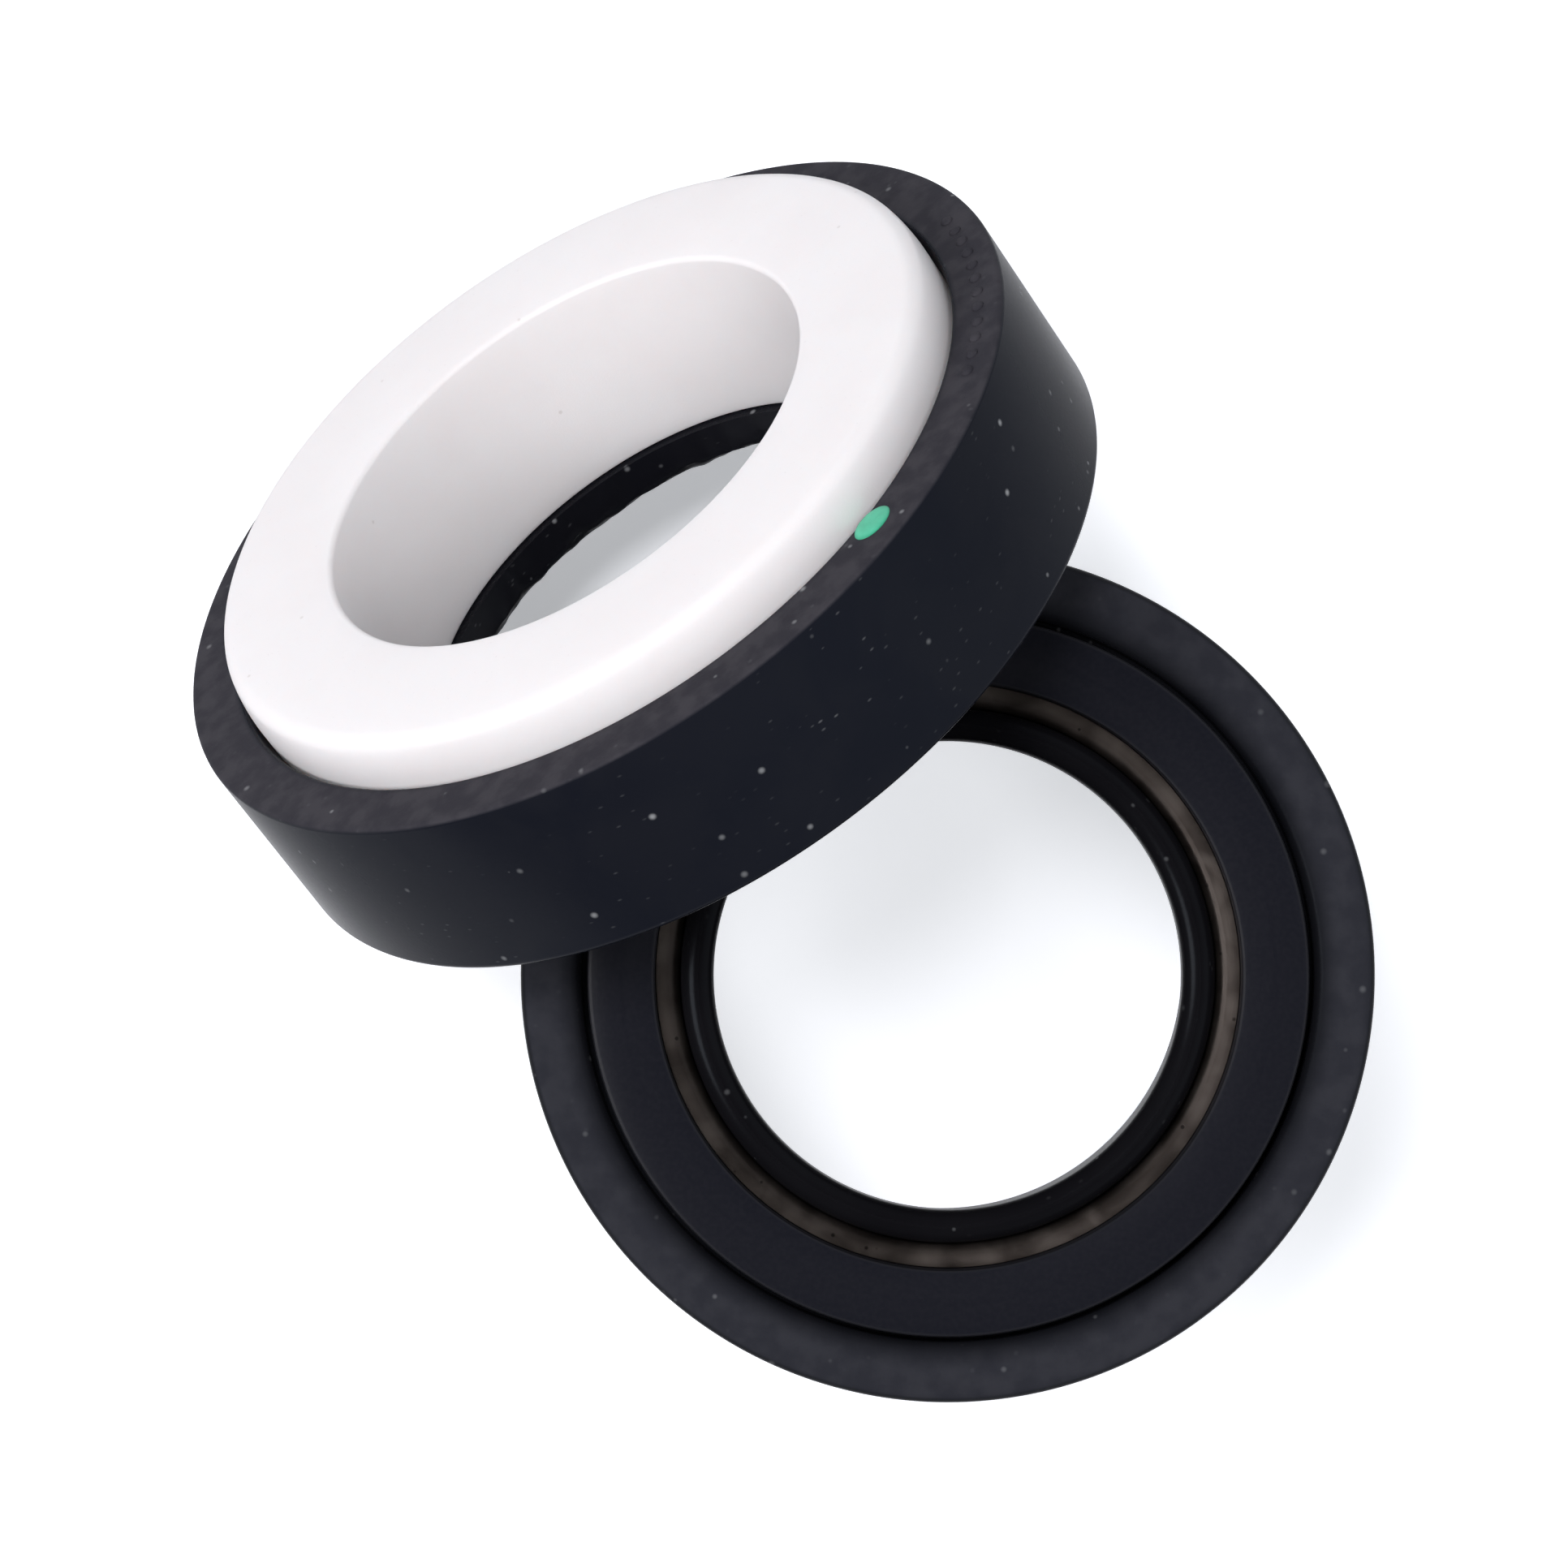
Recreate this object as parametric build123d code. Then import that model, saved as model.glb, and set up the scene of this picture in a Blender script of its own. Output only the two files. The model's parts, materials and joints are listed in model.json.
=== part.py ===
from build123d import *
from math import atan2, cos, degrees, radians, sin, sqrt, tan
import os

os.makedirs("parts", exist_ok=True)

# A mechanical shaft seal in its two halves, as they lie before fitting, in mm
# The spring-loaded head stands upright on its spring, and the stationary seat leans on it
# Origin: on the shaft axis, where the head's shaft bore opens at the front. +Z is out of the front

# Shaft and clearances
shaft_d = 20.0
shaft_grip = 0.15        # how much smaller than the shaft the rubber bore is moulded
shaft_room = 1.5         # round the shaft, inside the ceramic ring
bed_gap = 0.03           # between pieces that are bedded in rubber

# Stationary seat
ceramic_w = 5.87         # radial width of the ceramic ring
ceramic_t = 8.8
ceramic_proud = 2.2      # how far the ceramic stands out of its cup
ceramic_round = 1.0      # on the outer edge of the running face
ceramic_bore_round = 0.7
ceramic_back_bevel = 0.5
cup_wall = 2.6
cup_flange = 2.0         # rubber behind the ceramic
cup_lip = 0.35           # how far the rubber lip stands inside the ceramic's bore
cup_lip_round = 0.7
cup_front_edge = 0.3
cup_mouth_bevel = 0.3
cup_back_round = 0.5

# Rotary head
head_h = 22.0            # floor to the rim of the rubber boot, spring at its free length
face_w = 2.85            # radial width of the running face
face_t = 5.0
face_proud = 0.65        # running face above the boot's rim
face_edge = 0.2          # bevels of the running face
face_back_bevel = 0.8
lip_wall = 1.565         # rubber sleeve inside the clamp ring
grip_h = 3.6             # length of bore that grips the shaft, behind its mouth
relief = 0.7             # how much wider in radius the bore is behind the grip
lip_drop = 0.25          # rubber lip below the running face
lip_share = 0.98         # of half the sleeve's wall, rounded away on each side of the lip
clamp_wall = 0.85
clamp_drop = 0.9         # top of the clamp ring below the running face
clamp_edge = 0.15
clamp_bend = 0.5         # pressed bend where its sleeve meets its flange
clamp_flange_t = 1.0
clamp_flange_short = 0.65    # how far its flange stays inside the face ring's edge
boot_wall = 2.82         # rubber round the face ring
boot_floor = 2.2         # rubber between the clamp ring's flange and the spring
boot_groove_w = 0.42     # groove round the face ring, in the boot's rim
boot_groove_deep = 1.6
boot_groove_edge = 0.25
boot_rim_round = 0.5
boot_back_round = 1.0
sleeve_wall = 1.5        # rubber sleeve round the shaft, behind the boot's floor
sleeve_tail = 5.0        # how far it reaches behind the spring's bed
tail_bevel = 0.4
bead_w = 0.8             # bead that centres the spring's top turn
bead_h = 1.6

# Conical spring
wire_d = 2.2
wire_flat_count = 12     # flats that stand in for the wire's round section
spring_room = 1.5        # between the bead and the top turn
spring_flare = 1.4       # how much wider in radius the foot turn is
active_turns = 2.2
end_turns = 0.85
ground_depth = 1.5       # wire ground off each end

# Lean of the seat
lean_angle = 57.5        # between the seat's axis and the vertical
lean_turn = 126.2        # where the seat stands round the head, from +X
lean_gap = 0.05          # left where the seat's lip meets the head's rim

# Radii from the shaft outwards
grip_r = (shaft_d - shaft_grip) / 2
lip_r = grip_r + lip_wall
clamp_in_r = lip_r + bed_gap
clamp_out_r = clamp_in_r + clamp_wall
face_in_r = clamp_out_r + bed_gap
face_out_r = face_in_r + face_w
flange_r = face_out_r - clamp_flange_short
cup_in_r = face_out_r + bed_gap
head_r = cup_in_r + boot_wall
tail_r = grip_r + sleeve_wall
bead_r = tail_r + bead_w
relief_r = grip_r + relief
ceramic_in_r = shaft_d / 2 + shaft_room
ceramic_out_r = ceramic_in_r + ceramic_w
wall_in_r = ceramic_out_r + bed_gap
seat_r = wall_in_r + cup_wall
lip_in_r = ceramic_in_r - cup_lip

# Heights of the head, from the mouth of its shaft bore
lip_crest = lip_wall / 2
face_z = lip_crest + lip_drop
rim_z = face_z - face_proud
floor_z = rim_z - head_h
clamp_top = face_z - clamp_drop
face_back = face_z - face_t
flange_top = face_back - bed_gap
flange_bottom = flange_top - clamp_flange_t
bed_z = flange_bottom - bed_gap - boot_floor
tail_z = bed_z - sleeve_tail
groove_z = rim_z - boot_groove_deep
bead_z = bed_z - wire_d

# Heights of the seat, from its back face along its own axis
ceramic_back = cup_flange + bed_gap
ceramic_front = ceramic_back + ceramic_t
cup_front = ceramic_front - ceramic_proud


def turned(corners):
    """A ring turned about Z from (radius, height) corners, some with a fillet or chamfer and its size."""
    outline = Sketch() + make_face(Polyline(*[corner[:2] for corner in corners], close=True))
    for radius, height, *finish in corners:
        if finish:
            cut, size = finish
            corner = outline.vertices().sort_by_distance((radius, height, 0))[0]
            outline = cut(corner, size)
    return revolve(Plane.XZ * outline, Axis.Z)


def seat_ring():
    """Ceramic running ring of the seat, from the back face up its own axis."""
    return turned([
        (ceramic_in_r, ceramic_back),
        (ceramic_out_r, ceramic_back, chamfer, ceramic_back_bevel),
        (ceramic_out_r, ceramic_front, fillet, ceramic_round),
        (ceramic_in_r, ceramic_front, fillet, ceramic_bore_round),
    ])


def seat_cup():
    """Rubber cup of the seat: a tall wall round the ceramic, and a flange with a round lip behind it."""
    return turned([
        (lip_in_r, 0, fillet, cup_lip_round),
        (seat_r, 0, fillet, cup_back_round),
        (seat_r, cup_front, chamfer, cup_front_edge),
        (wall_in_r, cup_front, chamfer, cup_mouth_bevel),
        (wall_in_r, cup_flange),
        (lip_in_r, cup_flange),
    ])


def face_ring():
    """Carbon running ring: a washer with a lapped front and a bevelled back edge."""
    return turned([
        (face_in_r, face_back),
        (face_out_r, face_back, chamfer, face_back_bevel),
        (face_out_r, face_z, chamfer, face_edge),
        (face_in_r, face_z, chamfer, face_edge),
    ])


def clamp_ring():
    """Pressed metal ring: its sleeve squeezes the rubber on the shaft, and its flange backs the face ring."""
    return turned([
        (clamp_in_r, flange_bottom, fillet, clamp_bend),
        (flange_r, flange_bottom),
        (flange_r, flange_top),
        (clamp_out_r, flange_top),
        (clamp_out_r, clamp_top, chamfer, clamp_edge),
        (clamp_in_r, clamp_top, chamfer, clamp_edge),
    ])


def head_boot():
    """Rubber boot: a sleeve with a round lip on the shaft, and a cup round the clamp ring and face ring."""
    lip_round = lip_crest * lip_share
    return turned([
        (relief_r, -grip_h - relief),
        (relief_r, tail_z),
        (tail_r, tail_z, chamfer, tail_bevel),
        (tail_r, bead_z - bead_h),
        (bead_r, bead_z - bead_h / 2),
        (bead_r, bed_z),
        (head_r, bed_z, fillet, boot_back_round),
        (head_r, rim_z, fillet, boot_rim_round),
        (cup_in_r + boot_groove_w, rim_z, chamfer, boot_groove_edge),
        (cup_in_r + boot_groove_w, groove_z),
        (cup_in_r, groove_z),
        (cup_in_r, flange_top),
        (flange_r + bed_gap, flange_top),
        (flange_r + bed_gap, flange_bottom - bed_gap),
        (lip_r, flange_bottom - bed_gap),
        (lip_r, lip_crest, fillet, lip_round),
        (grip_r, lip_crest, fillet, lip_round),
        (grip_r, -grip_h),
    ])


def drive_spring():
    """Conical coil spring: closed end turns, ground flat, with its larger end at the foot."""
    top_r = bead_r + spring_room + wire_d / 2
    foot_r = top_r + spring_flare
    first_z = floor_z + wire_d / 2 - ground_depth
    last_z = bed_z - wire_d / 2 + ground_depth
    end_rise = wire_d * end_turns
    active_rise = last_z - first_z - 2 * end_rise
    taper = atan2(top_r - foot_r, active_rise)
    slant_pitch = active_rise / cos(taper) / active_turns
    foot = Helix(wire_d, end_rise, foot_r, (0, 0, first_z))
    middle = Helix(slant_pitch, active_rise, foot_r, (0, 0, first_z + end_rise), cone_angle=degrees(taper))
    top = Helix(wire_d, end_rise, top_r, (0, 0, last_z - end_rise))
    path = Wire([
        foot.edge(),
        (Rot(0, 0, 360 * end_turns) * middle).edge(),
        (Rot(0, 0, 360 * (end_turns + active_turns)) * top).edge(),
    ])
    section = Plane(path @ 0, z_dir=path % 0) * RegularPolygon(wire_d / 2, wire_flat_count)
    coil = sweep(section, path=path, is_frenet=True)
    ground_flat = Pos(0, 0, (floor_z + bed_z) / 2) * Cylinder(foot_r + wire_d, bed_z - floor_z)
    return coil & ground_flat


def leaning():
    """Where the seat lies: its back rim on the floor, its lip on the head's rim."""
    tilt = radians(lean_angle)
    back_up = (seat_r - cup_back_round) * sin(tilt) + cup_back_round * (1 - cos(tilt))
    rise = (head_h - back_up) / sin(tilt)
    # The rim meets the round lip at two points, or the flat flange above it at one
    aside = sqrt(max(lip_in_r**2 - rise**2, 0))
    reach = sqrt(head_r**2 - aside**2)
    # Rounded edges let the two come closer than sharp ones would
    closer = (sqrt(2) - 1) * (boot_rim_round + cup_lip_round)
    away = reach + (head_h - back_up) / tan(tilt) - closer + lean_gap
    turn = radians(lean_turn)
    foot = (away * cos(turn), away * sin(turn), floor_z + back_up)
    facing = (sin(tilt) * cos(turn), sin(tilt) * sin(turn), cos(tilt))
    return Plane(foot, x_dir=(-sin(turn), cos(turn), 0), z_dir=facing)


lean = leaning()
pieces = {
    "seat_ring": lean * seat_ring(),
    "seat_cup": lean * seat_cup(),
    "face_ring": face_ring(),
    "clamp_ring": clamp_ring(),
    "head_boot": head_boot(),
    "drive_spring": drive_spring(),
}
for name, piece in pieces.items():
    piece.label = name
    export_step(piece, f"parts/{name}.step")
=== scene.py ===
import bmesh
import bpy
import json
from math import cos, hypot, pi, radians, sin
from mathutils import Matrix, Vector


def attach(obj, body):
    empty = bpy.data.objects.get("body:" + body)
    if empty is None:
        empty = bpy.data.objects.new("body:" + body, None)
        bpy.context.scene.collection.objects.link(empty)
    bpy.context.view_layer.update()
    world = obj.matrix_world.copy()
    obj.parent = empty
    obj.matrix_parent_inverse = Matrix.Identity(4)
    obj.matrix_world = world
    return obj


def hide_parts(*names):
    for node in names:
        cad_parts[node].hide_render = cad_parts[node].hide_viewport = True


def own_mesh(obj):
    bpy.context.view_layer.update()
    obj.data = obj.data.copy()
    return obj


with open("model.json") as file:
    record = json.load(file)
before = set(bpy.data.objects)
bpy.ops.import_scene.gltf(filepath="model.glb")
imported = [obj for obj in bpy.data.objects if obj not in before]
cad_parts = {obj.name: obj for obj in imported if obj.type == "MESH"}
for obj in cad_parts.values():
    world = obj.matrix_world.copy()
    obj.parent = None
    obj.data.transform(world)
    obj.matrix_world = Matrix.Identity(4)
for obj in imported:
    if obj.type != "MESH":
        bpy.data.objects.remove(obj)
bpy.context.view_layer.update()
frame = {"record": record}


# Stationary ring of the seat
# Fired white alumina, ground all over, with its running face lapped. It is pushed into the
# rubber cup from the front and stands a little out of it
ceramic_in_r = 11.5
ceramic_out_r = 17.37
ceramic_back = 2.03
ceramic_front = 10.83
ceramic_taper = 0.3
ceramic_taper_h = 1.3
ceramic_round = 0.6
ceramic_bore_round = 0.25
ceramic_back_round = 0.2
ceramic_back_bevel = 0.5
ceramic_white = (0.935, 0.910, 0.912, 1)
ceramic_clouded = (0.915, 0.886, 0.886, 1)
ceramic_pit = (0.55, 0.5, 0.47, 1)

rim = next(mount for mount in frame["record"]["mounts"] if mount["name"] == "seat_rim")
rim_from_back = 0.5
back_to_rim_middle = (rim_from_back + rim["dims"]["length_mm"] / 2) / 1000
seat_axis = Vector(rim["axis"]).normalized()
across_seat = Vector((0, 0, 1)).cross(seat_axis).normalized()
up_seat = seat_axis.cross(across_seat)
seat_place = Matrix((across_seat, up_seat, seat_axis)).transposed().to_4x4()
seat_place.translation = Vector(rim["pos_m"]) - seat_axis * back_to_rim_middle
head_place = Matrix()
same_point = 1e-3


def selected(piece, wanted):
    """Selects the edges of the piece, in edit mode, whose two ends are wanted."""
    bpy.ops.mesh.select_mode(type="EDGE")
    bpy.ops.mesh.select_all(action="DESELECT")
    shell = bmesh.from_edit_mesh(piece.data)
    for edge in shell.edges:
        if all(wanted(end.co) for end in edge.verts):
            edge.select_set(True)
    bmesh.update_edit_mesh(piece.data)


def turned_ring(name, corners, around=256):
    """A ring in mm, from (radius, height) corners, some with the size and steps of their round."""

    def on_a_corner(*some):
        def wanted(point):
            out = hypot(point.x, point.y)
            return any(
                abs(out - radius) < same_point and abs(point.z - height) < same_point
                for radius, height in some
            )
        return wanted

    bpy.ops.object.select_all(action="DESELECT")
    radius, height = first = corners[0][:2]
    bpy.ops.mesh.primitive_circle_add(vertices=around, radius=radius, location=(0, 0, height))
    bpy.ops.object.transform_apply(location=True)
    ring = bpy.context.object
    ring.name = name
    bpy.ops.object.mode_set(mode="EDIT")
    bpy.ops.mesh.select_mode(type="EDGE")
    for next_radius, next_height, *_ in corners[1:]:
        rise = (0, 0, next_height - height)
        bpy.ops.mesh.extrude_region_move(TRANSFORM_OT_translate={"value": rise})
        grow = next_radius / radius
        bpy.ops.transform.resize(value=(grow, grow, 1), center_override=(0, 0, 0))
        radius, height = next_radius, next_height
    selected(ring, on_a_corner(first, (radius, height)))
    bpy.ops.mesh.bridge_edge_loops()
    for radius, height, *edge_round in corners:
        if edge_round:
            size, steps = edge_round
            selected(ring, on_a_corner((radius, height)))
            bpy.ops.mesh.bevel(offset=size, segments=steps, profile=0.5, affect="EDGES")
    bpy.ops.mesh.select_all(action="SELECT")
    bpy.ops.mesh.normals_make_consistent(inside=False)
    bpy.ops.object.mode_set(mode="OBJECT")
    return ring


def settled(piece, place, body, sharp_from=30):
    """The piece, made in mm, smoothed, put in its place in metres, and riding on its body."""
    bpy.ops.object.select_all(action="DESELECT")
    piece.select_set(True)
    bpy.context.view_layer.objects.active = piece
    bpy.ops.object.shade_smooth_by_angle(angle=radians(sharp_from))
    piece.matrix_world = place @ Matrix.Scale(0.001, 4)
    bpy.ops.object.transform_apply(location=True, rotation=True, scale=True)
    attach(piece, body)


class Shade:
    """A socket of a node tree. Arithmetic on it adds Math nodes, and node() adds any other."""

    def __init__(self, socket):
        self.socket = socket

    def node(self, kind, settings, inputs, output=0):
        made = self.socket.id_data.nodes.new("ShaderNode" + kind)
        for name, value in settings.items():
            setattr(made, name, value)
        for name, value in inputs.items():
            if isinstance(value, Shade):
                made.id_data.links.new(value.socket, made.inputs[name])
            else:
                made.inputs[name].default_value = value
        return Shade(made.outputs[output]) if made.outputs else None

    def __getitem__(self, output):
        return Shade(self.socket.node.outputs[output])

    def math(self, operation, *values):
        return self.node("Math", {"operation": operation}, dict(enumerate(values)))

    def __add__(self, other):
        return self.math("ADD", self, other)

    def __sub__(self, other):
        return self.math("SUBTRACT", self, other)

    def __rsub__(self, other):
        return self.math("SUBTRACT", other, self)

    def __mul__(self, other):
        return self.math("MULTIPLY", self, other)

    __radd__ = __add__
    __rmul__ = __mul__


def finish_of(piece, name, place):
    """A new material on the piece. Gives the place in it, in mm, from the piece's own axis."""
    material = bpy.data.materials.new(name)
    material.use_nodes = True
    material.node_tree.nodes.clear()
    piece.data.materials.append(material)
    seen = Shade(material.node_tree.nodes.new("ShaderNodeTexCoord").outputs["Object"])
    return seen.node("Mapping", {"vector_type": "TEXTURE"}, {
        "Vector": seen,
        "Location": place.translation,
        "Rotation": place.to_euler(),
        "Scale": (0.001, 0.001, 0.001),
    })


def height_in(where):
    """How far a point in a material is along the piece's own axis, in mm."""
    return where.node("SeparateXYZ", {}, {0: where})["Z"]


def fade(value, start, end):
    """0 up to the start and 1 from the end on, with a smooth way between."""
    return value.node("MapRange", {"interpolation_type": "SMOOTHSTEP"}, {
        "Value": value, "From Min": start, "From Max": end, "To Min": 0.0, "To Max": 1.0,
    })


def noise(where, scale, detail=3.0, distortion=0.0):
    return where.node("TexNoise", {}, {
        "Vector": where, "Scale": scale, "Detail": detail, "Distortion": distortion,
    })


def specks(where, scale):
    """Points scattered in a material. Its Distance is 0 at each, and its Color differs by point."""
    return where.node("TexVoronoi", {}, {"Vector": where, "Scale": scale})


def mixed(share, first, second):
    return share.node("Mix", {"data_type": "RGBA"}, {0: share, 6: first, 7: second}, 2)


def uneven(height, distance):
    """The surface's normal, with the height as a bump of that many millimetres."""
    return height.node("Bump", {}, {
        "Height": height, "Strength": 1.0, "Distance": distance / 1000,
    })


def coated(where, **sockets):
    """The shader with these sockets, as the material's surface."""
    named = {name.replace("_", " "): value for name, value in sockets.items()}
    shader = where.node("BsdfPrincipled", {}, named)
    where.node("OutputMaterial", {}, {"Surface": shader})


seat_ceramic = turned_ring("seat_ceramic", [
    (ceramic_in_r, ceramic_back, ceramic_back_round, 2),
    (ceramic_out_r, ceramic_back, ceramic_back_bevel, 1),
    (ceramic_out_r, ceramic_front - ceramic_taper_h, ceramic_round, 8),
    (ceramic_out_r - ceramic_taper, ceramic_front, ceramic_round, 8),
    (ceramic_in_r, ceramic_front, ceramic_bore_round, 8),
])
settled(seat_ceramic, seat_place, "base")
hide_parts("seat_ring")

where = finish_of(seat_ceramic, "white_alumina", seat_place)
cloud = fade(noise(where, 0.16, 4.0), 0.35, 0.68)
grain = noise(where, 9.0, 5.0)
lapped = fade(height_in(where), ceramic_front - 0.06, ceramic_front - 0.01)
pitted = 1 - fade(specks(where, 0.42)["Distance"], 0.02, 0.05)
white = mixed(cloud, ceramic_white, ceramic_clouded)
coated(
    where,
    Base_Color=mixed(pitted * 0.35, white, ceramic_pit),
    Roughness=0.42 - lapped * 0.12 + (grain - 0.5) * 0.12,
    IOR=1.6,
    Subsurface_Weight=0.3,
    Subsurface_Radius=(1.0, 0.85, 0.8),
    Subsurface_Scale=0.0015,
    Normal=uneven(grain * (1 - lapped * 0.7), 0.006),
)


# Rubber cup of the seat
# Black nitrile rubber, moulded in two halves. Its front is trimmed and ground flat, and its thin
# lip grips behind the ceramic ring, with a little moulding flash left along its edge
seat_r = 20.0
cup_in_r = 17.4
cup_mouth_r = 17.62
cup_mouth_depth = 0.9
cup_front = 8.63
cup_floor = 2.0
cup_lip_r = 11.15
cup_lip_round = 0.7
cup_back_round = 0.4
cup_front_round = 0.25
cup_mouth_round = 0.15
flash_depth = 1.2
flash_width = 0.5
flash_waviness = 0.55
flash_smoothing = 5
cup_moulded = (0.0088, 0.0102, 0.0158, 1), (0.0112, 0.0124, 0.0176, 1)
cup_worn = (0.035, 0.0340, 0.0415, 1), (0.051, 0.0490, 0.057, 1)
cup_worn_from = cup_mouth_r
cup_worn_to = cup_mouth_r + 0.3
cup_smudge_at = (-2.8, 19.8, 6.4)
# Painted shade near the bore: the rubber is darkened towards this near-black inside the radius below
# and for 0.8 mm past it
bore_shade_black = (0.004, 0.0035, 0.004, 1)
bore_shade_r = 11.4
dust_grey = (0.28, 0.29, 0.30, 1)


def larger(first, second):
    return first.math("MAXIMUM", first, second)


def far_from(where, point):
    """How far a point in a material is from another, in mm."""
    return where.node("VectorMath", {"operation": "DISTANCE"}, {0: where, 1: point}, "Value")


def off_axis(where):
    """How far a point in a material is from the piece's own axis, in mm."""
    parts = where.node("SeparateXYZ", {}, {0: where})
    flat = where.node("CombineXYZ", {}, {"X": parts["X"], "Y": parts["Y"]})
    return where.node("VectorMath", {"operation": "LENGTH"}, {0: flat}, "Value")


def rubber(piece, name, place, moulded, worn, front, worn_and_shade_from, worn_and_shade_to, smudge_at, dustiness):
    """Black rubber, paler where grinding wore its front, with dust clinging to it, and with painted
    shade near the bore and at the inner edge of the paler face.
    """
    where = finish_of(piece, name, place)
    ground_out_of_shade = fade(height_in(where), front - 0.2, front - 0.05)
    # Painted shade: the ground paleness fades in across the given span, so the face is darker at its
    # inner edge; on the boot the span is wide and stands for the shade of the proud carbon ring
    # beside the groove
    ground_out_of_shade = ground_out_of_shade * fade(off_axis(where), worn_and_shade_from, worn_and_shade_to)
    flow = fade(noise(where, 0.22, 5.0, 0.6), 0.3, 0.7)
    scuffed = fade(noise(where, 0.8, 7.0), 0.36, 0.66)
    black = mixed(ground_out_of_shade, mixed(flow, *moulded), mixed(scuffed, *worn))
    # Painted shade: towards the bore the rubber is darkened towards near-black, where the lip falls
    # into it
    bore_shade = 1 - fade(off_axis(where), bore_shade_r, bore_shade_r + 0.8)
    black = mixed(bore_shade * 0.6, black, bore_shade_black)

    flecks = specks(where, 0.68)
    cell = where.node("SeparateColor", {}, {0: flecks["Color"]})
    fleck_r = 0.08 + cell["Red"] * 0.07
    fleck = 1 - fade(flecks["Distance"], fleck_r * 0.15, fleck_r)
    fleck = fleck * (0.3 + cell["Green"] * 0.7)
    strewn = where.node("Mapping", {}, {
        "Vector": where, "Rotation": (0.5, 0.9, 0), "Scale": (1.0, 1.0, 2.2),
    })
    patch = fade(noise(where, 0.13, 2.0), 0.38, 0.62)
    smudge = 1 - fade(far_from(where, smudge_at), 1.0, 3.4)
    lint = 1 - fade(specks(strewn, 1.0)["Distance"], 0.03, 0.15)
    lint = lint * (patch * 0.12 + smudge * 0.45)
    dust = larger(fleck, lint) * dustiness

    grain = noise(where, 6.0, 6.0)
    pores = 1 - fade(specks(where, 2.6)["Distance"], 0.05, 0.2)
    coated(
        where,
        Base_Color=mixed(dust, black, dust_grey),
        Roughness=0.24 + ground_out_of_shade * 0.4 + (grain - 0.5) * 0.1,
        Specular_IOR_Level=0.05,
        Specular_Tint=(0.80, 0.90, 1.0, 1),
        Normal=uneven(grain * (0.5 + ground_out_of_shade) - pores * ground_out_of_shade * 0.5 + dust, 0.006),
    )


seat_rubber = turned_ring("seat_rubber", [
    (cup_lip_r, 0, cup_lip_round, 10),
    (seat_r, 0, cup_back_round, 12),
    (seat_r, cup_front, cup_front_round, 4),
    (cup_mouth_r, cup_front, cup_mouth_round, 4),
    (cup_in_r, cup_front - cup_mouth_depth),
    (cup_in_r, cup_floor),
    (cup_lip_r, cup_floor),
])
bpy.ops.object.mode_set(mode="EDIT")
selected(seat_rubber, lambda p: hypot(p.x, p.y) < cup_lip_r + flash_width and p.z < flash_depth)
bpy.ops.transform.vertex_random(offset=flash_waviness, uniform=0, normal=0, seed=11)
bpy.ops.mesh.vertices_smooth(factor=0.5, repeat=flash_smoothing)
bpy.ops.object.mode_set(mode="OBJECT")
settled(seat_rubber, seat_place, "base")
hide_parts("seat_cup")
cup_finish = cup_moulded, cup_worn, cup_front, cup_worn_from, cup_worn_to, cup_smudge_at
rubber(seat_rubber, "cup_rubber", seat_place, *cup_finish, dustiness=1.0)


# Mould pips on the cup's front
# Small raised dots of the cup's own rubber, left by the mould on one stretch of its front
pip_r = 0.28
pip_height = 0.15
pip_sunk = 0.02
pip_ring_r = 18.85
pip_from, pip_to, pip_count = 144, 180, 12


def pip_at(angle):
    """A low dome on the cup's front, in mm."""
    bpy.ops.object.select_all(action="DESELECT")
    bpy.ops.mesh.primitive_uv_sphere_add(segments=16, ring_count=8, radius=pip_r, location=(
        pip_ring_r * cos(radians(angle)), pip_ring_r * sin(radians(angle)), cup_front,
    ))
    pip = bpy.context.object
    pip.scale.z = pip_height / pip_r
    bpy.ops.object.transform_apply(location=True, scale=True)
    bpy.ops.object.mode_set(mode="EDIT")
    bpy.ops.mesh.select_all(action="SELECT")
    bpy.ops.mesh.bisect(
        plane_co=(0, 0, cup_front - pip_sunk), plane_no=(0, 0, 1), use_fill=True, clear_inner=True,
    )
    bpy.ops.object.mode_set(mode="OBJECT")
    return pip


pips = [pip_at(pip_from + (pip_to - pip_from) * n / (pip_count - 1)) for n in range(pip_count)]
for pip in pips:
    pip.select_set(True)
bpy.context.view_layer.objects.active = pips[0]
bpy.ops.object.join()
mould_pips = bpy.context.object
mould_pips.name = "mould_pips"
settled(mould_pips, seat_place, "base", 60)
rubber(mould_pips, "pip_rubber", seat_place, *cup_finish, dustiness=0.4)


# Paint dot
# A dab of green enamel on the cup's front, by the foot of the ceramic ring, that marks the seat's
# running side. It was touched on by hand, so it is a little oval and domed
dot_ring_r = 18.3
dot_angle = 116.9
dot_half_across = 0.97
dot_half_out = 0.68
dot_height = 0.12
dot_sunk_share = 0.15
# Painted shade and highlight: the enamel is coloured darker at the dot's rim and paler on its crown
enamel_shaded_rim = (0.030, 0.33, 0.18, 1)
enamel_lit_crown = (0.105, 0.58, 0.37, 1)

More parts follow.
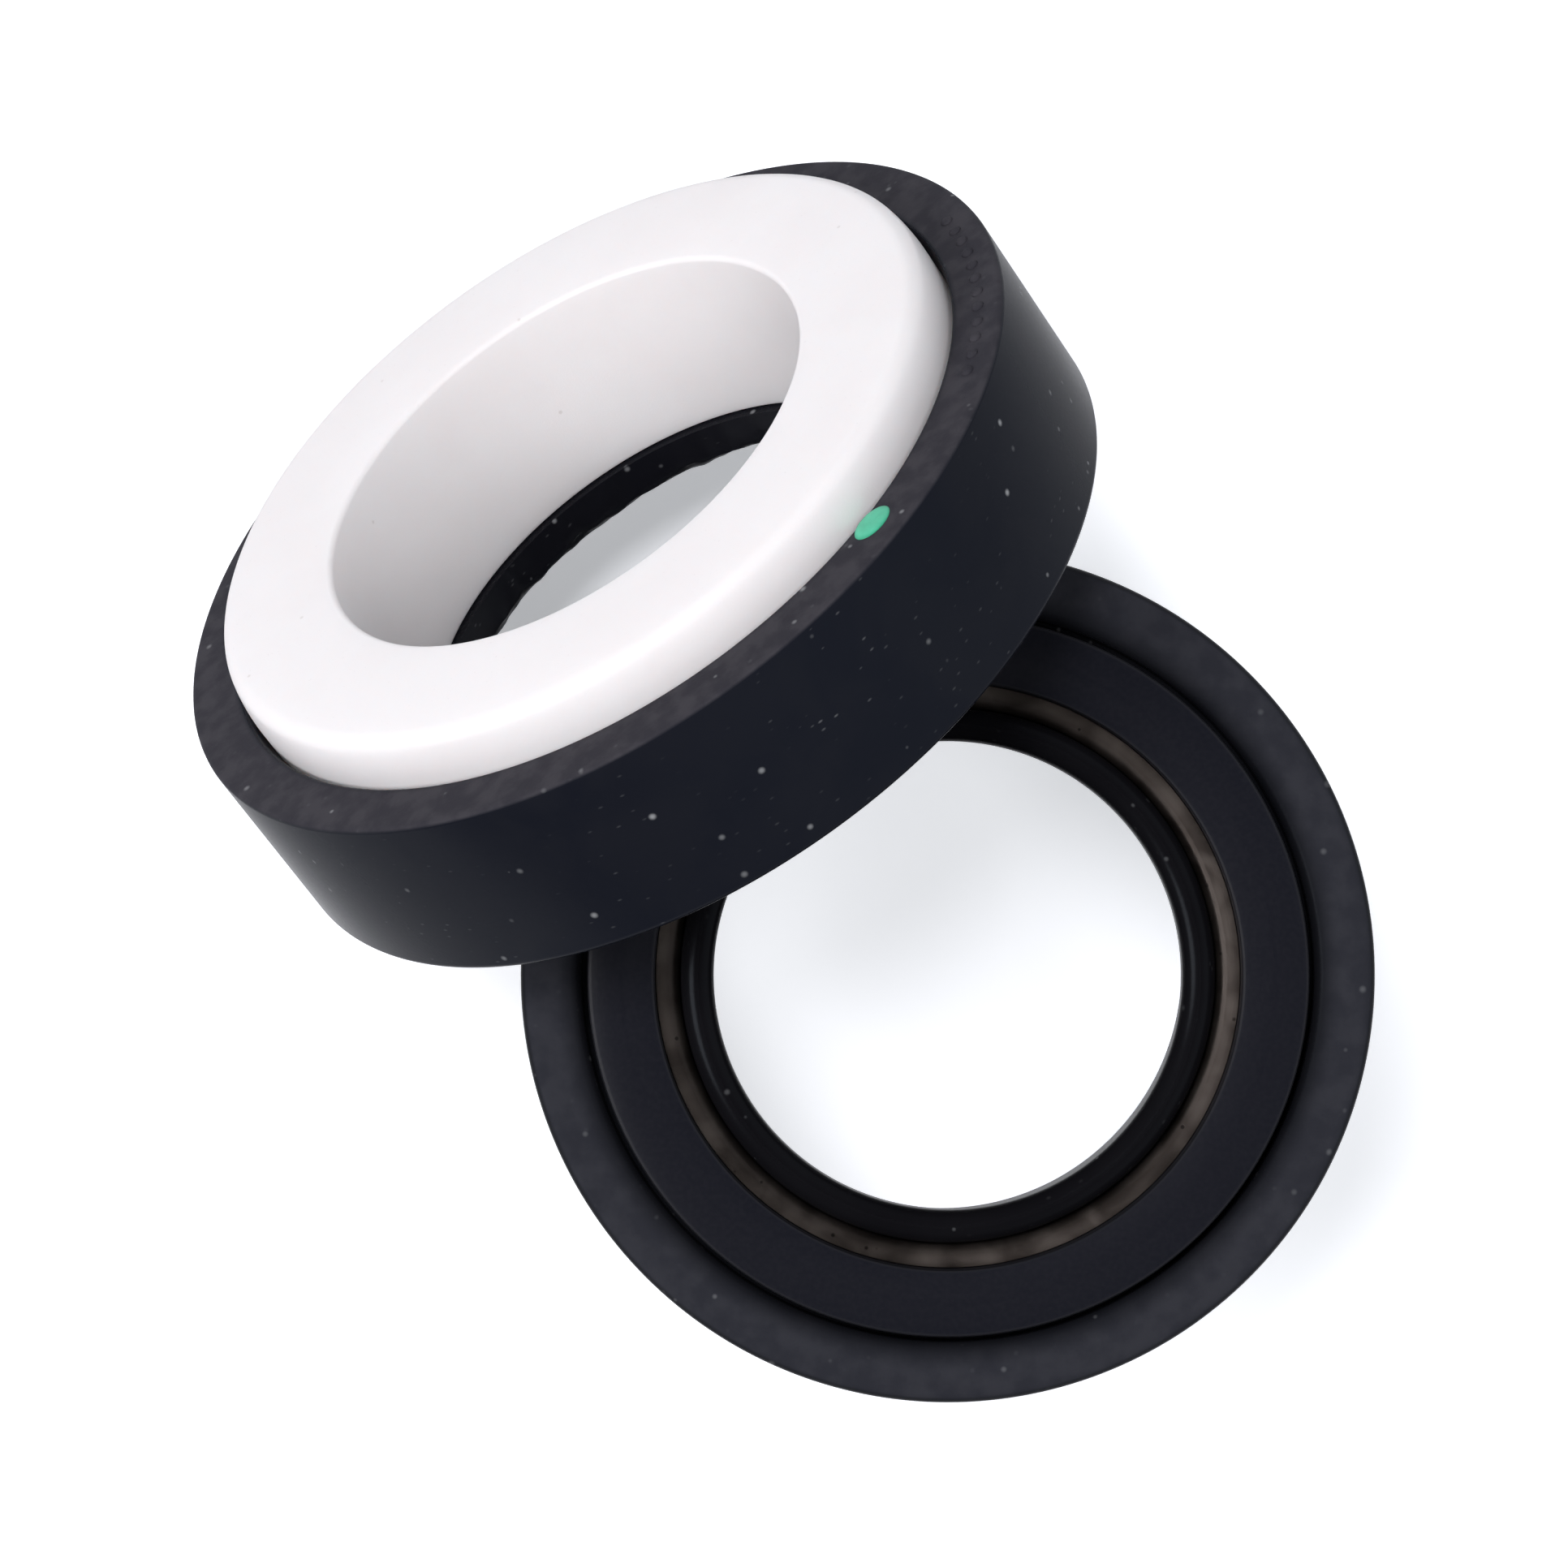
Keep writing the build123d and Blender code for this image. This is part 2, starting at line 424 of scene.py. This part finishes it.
bpy.ops.object.select_all(action="DESELECT")
bpy.ops.mesh.primitive_uv_sphere_add(segments=48, ring_count=24, radius=1)
paint_dot = bpy.context.object
paint_dot.name = "paint_dot"
bpy.ops.object.mode_set(mode="EDIT")
bpy.ops.mesh.bisect(
    plane_co=(0, 0, -dot_sunk_share), plane_no=(0, 0, 1), use_fill=True, clear_inner=True,
)
bpy.ops.object.mode_set(mode="OBJECT")
paint_dot.scale = (dot_half_out, dot_half_across, dot_height)
bpy.ops.object.transform_apply(scale=True)
paint_dot.rotation_euler.z = radians(dot_angle)
paint_dot.location = (
    dot_ring_r * cos(radians(dot_angle)), dot_ring_r * sin(radians(dot_angle)), cup_front,
)
bpy.ops.object.transform_apply(location=True, rotation=True)
settled(paint_dot, seat_place, "base", 60)

where = finish_of(paint_dot, "green_enamel", seat_place)
streak = fade(noise(where, 1.3, 3.0, 0.4), 0.3, 0.7)
# Painted shade and highlight: the dot's colour goes from dark at its rim to pale on its crown, by
# height
lit_crown = fade(height_in(where), cup_front, cup_front + dot_height * 0.7)
coated(
    where,
    Base_Color=mixed(lit_crown * (0.6 + streak * 0.4), enamel_shaded_rim, enamel_lit_crown),
    Roughness=0.33 + streak * 0.12,
    Normal=uneven(noise(where, 4.0, 3.0), 0.01),
)


# Running ring of the head
# Carbon graphite, turned and then lapped on its front to a dull mirror. It is bedded in the boot's
# mouth, in front of the clamp ring
face_in_r = 12.4
face_out_r = 15.25
face_front = 1.0325
face_back = -3.9675
face_edge = 0.2
face_back_bevel = 0.8
graphite_turned = (0.013, 0.0135, 0.017, 1)
graphite_lapped = (0.0088, 0.0094, 0.0138, 1), (0.0110, 0.0115, 0.0160, 1)

carbon_face = turned_ring("carbon_face", [
    (face_in_r, face_back),
    (face_out_r, face_back, face_back_bevel, 1),
    (face_out_r, face_front, face_edge, 2),
    (face_in_r, face_front, face_edge, 2),
])
settled(carbon_face, head_place, "head", 25)
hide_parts("face_ring")

where = finish_of(carbon_face, "lapped_carbon", head_place)
height = height_in(where)
lapped = fade(height, face_front - 0.05, face_front - 0.01)
across_tracks = where.node("CombineXYZ", {}, {"X": off_axis(where) * 14.0, "Y": height * 6.0})
tracks = noise(across_tracks, 1.0, 4.0)
speckle = noise(where, 5.0, 6.0)
graphite = mixed(fade(speckle, 0.35, 0.7), *graphite_lapped)
coated(
    where,
    Base_Color=mixed(lapped, graphite_turned, graphite),
    Roughness=0.5 - lapped * 0.16 + (tracks - 0.5) * 0.12,
    Specular_IOR_Level=0.2,
    Normal=uneven(tracks * 0.7 + speckle * 0.3, 0.004),
)


# Clamp ring of the head
# Pressed from brass-coloured steel strip, gone brown with handling. Its sleeve squeezes the boot's
# rubber onto the shaft, and its flange backs the carbon ring
clamp_in_r = 11.35
clamp_out_r = 12.37
clamp_top = 0.1325
clamp_fall = 0.24
clamp_front_round = 0.4
clamp_front_edge = 0.04
clamp_flange_r = 14.6
clamp_flange_top = -3.9975
clamp_flange_bottom = -4.9975
clamp_flange_round = 0.15
clamp_bend = 0.5
strip_brown = (0.150, 0.126, 0.112, 1)
strip_pale = (0.195, 0.168, 0.150, 1)
strip_drawn = (0.085, 0.068, 0.058, 1)
# Near-black of the pits, also used as painted shade at the sleeve's inner edge beside the rubber lip
pit_and_lip_shade_dark = (0.012, 0.010, 0.010, 1)

clamp_sleeve = turned_ring("clamp_sleeve", [
    (clamp_in_r, clamp_flange_bottom, clamp_bend, 6),
    (clamp_flange_r, clamp_flange_bottom, clamp_flange_round, 3),
    (clamp_flange_r, clamp_flange_top, clamp_flange_round, 3),
    (clamp_out_r, clamp_flange_top),
    (clamp_out_r, clamp_top, clamp_front_edge, 2),
    (clamp_in_r, clamp_top - clamp_fall, clamp_front_round, 8),
])
settled(clamp_sleeve, head_place, "head")
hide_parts("clamp_ring")

where = finish_of(clamp_sleeve, "tarnished_strip", head_place)
across_draw = where.node("CombineXYZ", {}, {
    "X": off_axis(where) * 9.0, "Y": height_in(where) * 9.0,
})
drawn = noise(across_draw, 1.0, 4.0)
stain = fade(noise(where, 0.5, 5.0, 0.5), 0.3, 0.72)
pitted = 1 - fade(specks(where, 0.9)["Distance"], 0.05, 0.12)
# Painted shade: the sleeve's front darkens towards its inner edge, under the rubber lip that stands
# above it
lip_shade = 1 - fade(off_axis(where), clamp_in_r - 0.1, clamp_in_r + 0.8)
brown = mixed(stain, strip_brown, strip_pale)
brown = mixed(drawn * 0.35, brown, strip_drawn)
coated(
    where,
    Base_Color=mixed(larger(pitted * 0.8, lip_shade * 0.85), brown, pit_and_lip_shade_dark),
    Metallic=0.9 - stain * 0.15,
    Roughness=0.33 + stain * 0.15,
    Normal=uneven(drawn - pitted * 0.6, 0.01),
)


# Rubber boot of the head
# Black nitrile rubber, moulded in one piece: a sleeve with a round lip on the shaft, a cup for the
# clamp ring and the carbon ring, and a bead that centres the spring
grip_r = 9.925
grip_bottom_z = -1.3
grip_bottom_round = 0.3
relief_r = 10.625
relief_top_z = -2.2
relief_top_round = 0.3
lip_r = 11.32
lip_crest = 0.7825
lip_round = 0.76
head_r = 18.1
boot_rim = 0.3825
boot_rim_round = 0.5
boot_rim_inside = 0.5
boot_cup_r = 15.28
boot_groove_r = 15.5
boot_groove_z = -1.2175
boot_groove_fall = 0.1
boot_groove_round = 0.4
boot_back = -7.2275
boot_back_round = 1.0
boot_back_crook = 0.3
boot_pocket_r = 14.63
boot_pocket_z = -5.0275
tail_r = 11.425
tail_z = -12.2275
tail_round = 0.4
tail_bore_round = 0.15
bead_r = 12.225
bead_top_z = -9.4275
bead_z = -10.2275
bead_bottom_z = -11.0275
bead_round = 0.3
bead_foot_round = 0.25
boot_moulded = (0.0065, 0.0070, 0.0092, 1), (0.0095, 0.0100, 0.0125, 1)
boot_worn = (0.0235, 0.0245, 0.031, 1), (0.031, 0.0320, 0.039, 1)
# Painted shade: the boot's face stays dark by the groove and pales outward up to the second radius,
# for the shade of the proud carbon ring
boot_worn_and_shade_from = boot_groove_r
boot_worn_and_shade_to = 16.8
boot_smudge_at = (-12.5, -12.5, 0.4)

head_rubber = turned_ring("head_rubber", [
    (relief_r, relief_top_z, relief_top_round, 3),
    (relief_r, tail_z, tail_bore_round, 3),
    (tail_r, tail_z, tail_round, 3),
    (tail_r, bead_bottom_z, bead_foot_round, 3),
    (bead_r, bead_z, bead_round, 4),
    (bead_r, bead_top_z),
    (bead_r, boot_back, boot_back_crook, 3),
    (head_r, boot_back, boot_back_round, 10),
    (head_r, boot_rim, boot_rim_round, 8),
    (boot_groove_r + boot_rim_inside, boot_rim),
    (boot_groove_r, boot_rim - boot_groove_fall, boot_groove_round, 6),
    (boot_groove_r, boot_groove_z),
    (boot_cup_r, boot_groove_z),
    (boot_cup_r, clamp_flange_top),
    (boot_pocket_r, clamp_flange_top),
    (boot_pocket_r, boot_pocket_z),
    (lip_r, boot_pocket_z),
    (lip_r, lip_crest, lip_round, 12),
    (grip_r, lip_crest, lip_round, 12),
    (grip_r, grip_bottom_z, grip_bottom_round, 3),
])
settled(head_rubber, head_place, "head")
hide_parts("head_boot")
boot_finish = boot_moulded, boot_worn, boot_rim, boot_worn_and_shade_from, boot_worn_and_shade_to, boot_smudge_at
rubber(head_rubber, "boot_rubber", head_place, *boot_finish, dustiness=0.3)


# Drive spring
# Stainless wire, coiled as a cone with its wide end at the foot. Its end turns are closed, and
# ground flat against the boot and against what it stands on
wire_r = 1.1
spring_top_r = 14.825
spring_foot_r = 16.225
spring_floor = -21.6175
spring_bed = boot_back
ground_depth = 1.5
end_turns = 0.85
active_turns = 2.2
ease_turns = 0.16
steps_per_turn = 90
wire_sides = 20
wire_grey = (0.50, 0.49, 0.47, 1), (0.60, 0.59, 0.57, 1)
wire_ground = (0.66, 0.65, 0.64, 1)

first_z = spring_floor + wire_r - ground_depth
last_z = spring_bed - wire_r + ground_depth
active_rise = last_z - first_z - 2 * end_turns * 2 * wire_r
step_angle = 2 * pi / steps_per_turn
all_turns = 2 * end_turns + active_turns

bpy.ops.object.select_all(action="DESELECT")
bpy.ops.mesh.primitive_circle_add(
    vertices=wire_sides, radius=wire_r, fill_type="NGON",
    location=(spring_foot_r, 0, first_z), rotation=(radians(90), 0, 0),
)
bpy.ops.object.transform_apply(location=True, rotation=True)
cone_spring = bpy.context.object
cone_spring.name = "cone_spring"
bpy.ops.object.mode_set(mode="EDIT")
bpy.ops.mesh.select_mode(type="FACE")
bpy.ops.mesh.select_all(action="SELECT")
for step in range(round(all_turns * steps_per_turn)):
    turn = (step + 0.5) / steps_per_turn
    into_active = min(max((turn - end_turns) / ease_turns + 0.5, 0), 1)
    out_of_active = min(max((end_turns + active_turns - turn) / ease_turns + 0.5, 0), 1)
    active = into_active * out_of_active
    rise_per_turn = 2 * wire_r + (active_rise / active_turns - 2 * wire_r) * active
    inward = (spring_foot_r - spring_top_r) * active / active_turns / steps_per_turn
    angle = step * step_angle
    shift = (-inward * cos(angle), -inward * sin(angle), rise_per_turn / steps_per_turn)
    bpy.ops.mesh.extrude_region_move(TRANSFORM_OT_translate={"value": shift})
    bpy.ops.transform.rotate(value=-step_angle, orient_axis="Z", center_override=(0, 0, 0))
bpy.ops.mesh.select_all(action="SELECT")
bpy.ops.mesh.normals_make_consistent(inside=False)
bpy.ops.mesh.bisect(
    plane_co=(0, 0, spring_floor), plane_no=(0, 0, 1), use_fill=True, clear_inner=True,
)
bpy.ops.mesh.select_all(action="SELECT")
bpy.ops.mesh.bisect(
    plane_co=(0, 0, spring_bed), plane_no=(0, 0, 1), use_fill=True, clear_outer=True,
)
bpy.ops.object.mode_set(mode="OBJECT")
settled(cone_spring, head_place, "base", 40)
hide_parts("drive_spring")
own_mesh(cone_spring)

where = finish_of(cone_spring, "spring_wire", head_place)
along_wire = where.node("Mapping", {}, {"Vector": where, "Scale": (1.0, 1.0, 8.0)})
drawn = noise(along_wire, 1.1, 4.0)
ground_low = 1 - fade(height_in(where), spring_floor + 0.02, spring_floor + 0.05)
tone = fade(noise(where, 0.35, 4.0), 0.35, 0.65)
coated(
    where,
    Base_Color=mixed(ground_low, mixed(tone, *wire_grey), wire_ground),
    Metallic=1.0,
    Roughness=0.3 + drawn * 0.14 - ground_low * 0.05,
    Normal=uneven(drawn, 0.01),
)


# Table, daylight and camera
# A white table under a soft window lamp at the left and two soft ceiling lamps that don't mirror in
# the rings, with pale daylight from the right. The camera looks straight down from about 0.3 m
table_z = (spring_floor - 0.01) / 1000
table_half = 1.2
seen_through_seat = (-13.0, 19.1, table_z * 1000)
table_to_light = (0.64, 0.65, 0.66, 1)
table_to_camera = (0.95, 0.97, 1.0, 1)
glow_by_seat = (0.3515, 0.3589, 0.37, 1)
# Painted light: the stronger glow the table gives the camera away from the patch seen through the
# seat's bore
painted_glow_in_open = (0.4845, 0.4947, 0.51, 1)
daylight = (0.95, 0.98, 1.03, 1)
lamp_white = (1.0, 0.985, 1.01)
lamp_warm = (1.0, 0.98, 0.99)
camera_x, camera_y, camera_height = -0.00694, 0.00811, 0.3017
camera_lens = 151.8

bpy.ops.object.select_all(action="DESELECT")
bpy.ops.mesh.primitive_plane_add(size=2 * table_half, location=(0, 0, table_z))
table = bpy.context.object
table.name = "table"
bpy.ops.object.transform_apply(location=True)
bpy.ops.object.mode_set(mode="EDIT")
bpy.ops.mesh.subdivide(number_cuts=3)
bpy.ops.object.mode_set(mode="OBJECT")

where = finish_of(table, "white_table", head_place)
ray = where.node("LightPath", {}, {})
seen = larger(ray["Is Camera Ray"], ray["Is Glossy Ray"] * 0.4)
seen = larger(seen, ray["Is Transmission Ray"])
# Painted light: away from the patch seen through the seat's bore the table glows more for the camera,
# lifting its shadows there
painted_light_in_open = fade(far_from(where, seen_through_seat), 9.0, 14.0) * ray["Is Camera Ray"]
table_top = where.node("BsdfDiffuse", {}, {"Color": mixed(seen, table_to_light, table_to_camera)})
glow = mixed(painted_light_in_open, mixed(seen, (0, 0, 0, 1), glow_by_seat), painted_glow_in_open)
glow = where.node("Emission", {}, {"Color": glow, "Strength": 1.0})
where.node("OutputMaterial", {}, {"Surface": where.node("AddShader", {}, {0: table_top, 1: glow})})

world = bpy.data.worlds.new("daylight")
bpy.context.scene.world = world
world.use_nodes = True
world.node_tree.nodes.clear()
toward = Shade(world.node_tree.nodes.new("ShaderNodeTexCoord").outputs["Generated"])
parts = toward.node("SeparateXYZ", {}, {0: toward})
to_right = larger(parts["X"], 0.0)
overhead = fade(parts["Z"], 0.62, 0.92)
sky = toward.node("Background", {}, {
    "Color": daylight, "Strength": (0.06 + to_right * 0.80) * (1 - overhead),
})
toward.node("OutputWorld", {}, {"Surface": sky})


def soft_lamp(name, place, size, power, colour):
    """A round soft lamp, turned to the middle of the table."""
    bpy.ops.object.light_add(type="AREA", location=place)
    lamp = bpy.context.object
    lamp.name = name
    lamp.rotation_euler = Vector(place).to_track_quat("Z", "Y").to_euler()
    lamp.data.shape = "DISK"
    lamp.data.size = size
    lamp.data.energy = power
    lamp.data.color = colour
    return lamp


soft_lamp("window", (-0.5855, -0.1033, 0.535), size=0.4, power=3.1, colour=lamp_white)
ceiling = soft_lamp("ceiling", (-0.1788, 0.2130, 0.856), size=0.3, power=4.3, colour=lamp_white)
ceiling.visible_glossy = False
second = soft_lamp("second_ceiling", (0.1104, -0.1316, 0.8835), size=0.3, power=1.6, colour=lamp_warm)
second.visible_glossy = False

bpy.ops.object.camera_add(
    location=(camera_x, camera_y, table_z + camera_height), rotation=(0, 0, 0),
)
camera = bpy.context.object
camera.data.sensor_width = 36
camera.data.lens = camera_lens
camera.data.clip_start = 0.01
bpy.context.scene.camera = camera
bpy.context.scene.view_settings.view_transform = "Standard"
